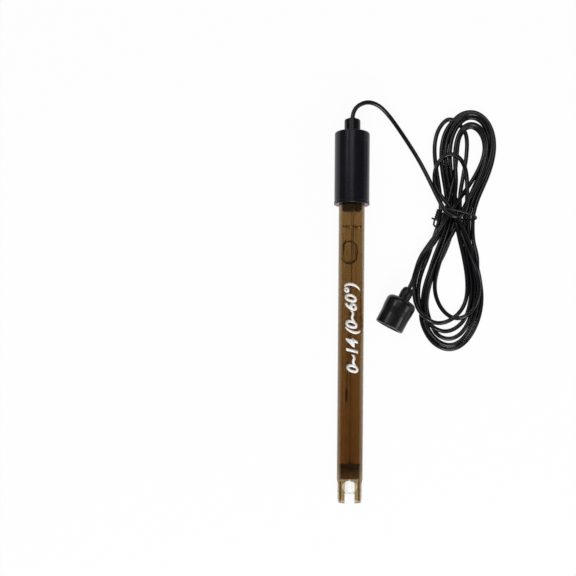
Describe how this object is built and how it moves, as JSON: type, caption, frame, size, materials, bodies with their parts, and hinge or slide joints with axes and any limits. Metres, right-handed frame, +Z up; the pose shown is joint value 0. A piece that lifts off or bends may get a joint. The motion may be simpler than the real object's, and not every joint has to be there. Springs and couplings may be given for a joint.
{
  "type": "ph electrode",
  "caption": "Combination pH electrode: amber tube with a slotted guard round a glass bulb, black cap, thin lead tied in a hank, and a bayonet plug.",
  "frame": {"origin": "on the surface it lies on, under the middle of the electrode (the lead and its plug not counted)", "axes": "+Y along the electrode from the guard's tips to the lead's exit, +Z up, +X towards the side where the lead lies"},
  "size_m": [0.0766, 0.1871, 0.0169],
  "materials": {
    "amber_tube": "clear amber polycarbonate moulding",
    "black_cap": "satin moulded",
    "black_rubber": "moulded rubber",
    "glass": "blown glass",
    "clear_liquid": "clear buffer liquid",
    "silver": "drawn silver wire",
    "silver_chloride": "silver chloride coat",
    "amber_seal": "cast resin",
    "dark_gasket": "moulded rubber",
    "wick": "porous ceramic",
    "gel": "clear gel",
    "cord_jacket": "extruded satin vinyl",
    "core_insulation": "extruded",
    "shrink_sleeve": "shrunk sleeve",
    "tinned_copper": "twisted tinned strands",
    "nickel": "nickel plated, turned",
    "white_insulator": "turned fluoropolymer",
    "gold_pin": "gold plated, turned",
    "spring_steel": "stamped spring steel",
    "silicone_gasket": "moulded silicone",
    "black_shell": "satin moulded",
    "black_tie": "plastic covered wire"
  },
  "bodies": {
    "electrode": {"body_tube": "amber_tube", "cap": "black_cap", "cable_grommet": "black_rubber", "glass_stem": "glass", "glass_bulb": "glass", "inner_buffer": "clear_liquid", "inner_wire": "silver", "inner_element": "silver_chloride", "seal_plug": "amber_seal", "seal_gasket": "dark_gasket", "junction_wick": "wick", "reference_wire": "silver", "reference_element": "silver_chloride", "reference_gel": "gel", "tube_stopper": "black_rubber", "cord_stub": "cord_jacket", "cord_core": "core_insulation", "core_sleeve": "shrink_sleeve", "cord_screen": "tinned_copper", "screen_sleeve": "shrink_sleeve", "strain_relief": "black_rubber", "cord_plug_end": "cord_jacket", "plug_body": "nickel", "insulator": "white_insulator", "centre_pin": "gold_pin", "snap_ring": "spring_steel", "spring_washer": "spring_steel", "plug_gasket": "silicone_gasket", "cord_lead": "cord_jacket", "cord_tail": "cord_jacket", "cord_hank": "cord_jacket", "twist_tie": "black_tie"},
    "thrust_ring": {"thrust_washer": "nickel"},
    "coupling": {"coupling_ring": "nickel", "plug_shell": "black_shell"}
  },
  "joints": [
    {"name": "coupling_float", "type": "slide", "parent": "electrode", "child": "thrust_ring", "axis": [-0.46, -0.8879, 0], "range_m": [0, 0.0004], "stiffness_N_per_m": 400, "springref_m": -0.0005, "deforming": ["spring_washer"]},
    {"name": "coupling_turn", "type": "hinge", "parent": "thrust_ring", "child": "coupling", "pos_m": [0.0269, 0.011, 0.0072], "axis": [-0.46, -0.8879, 0], "continuous": true}
  ]
}
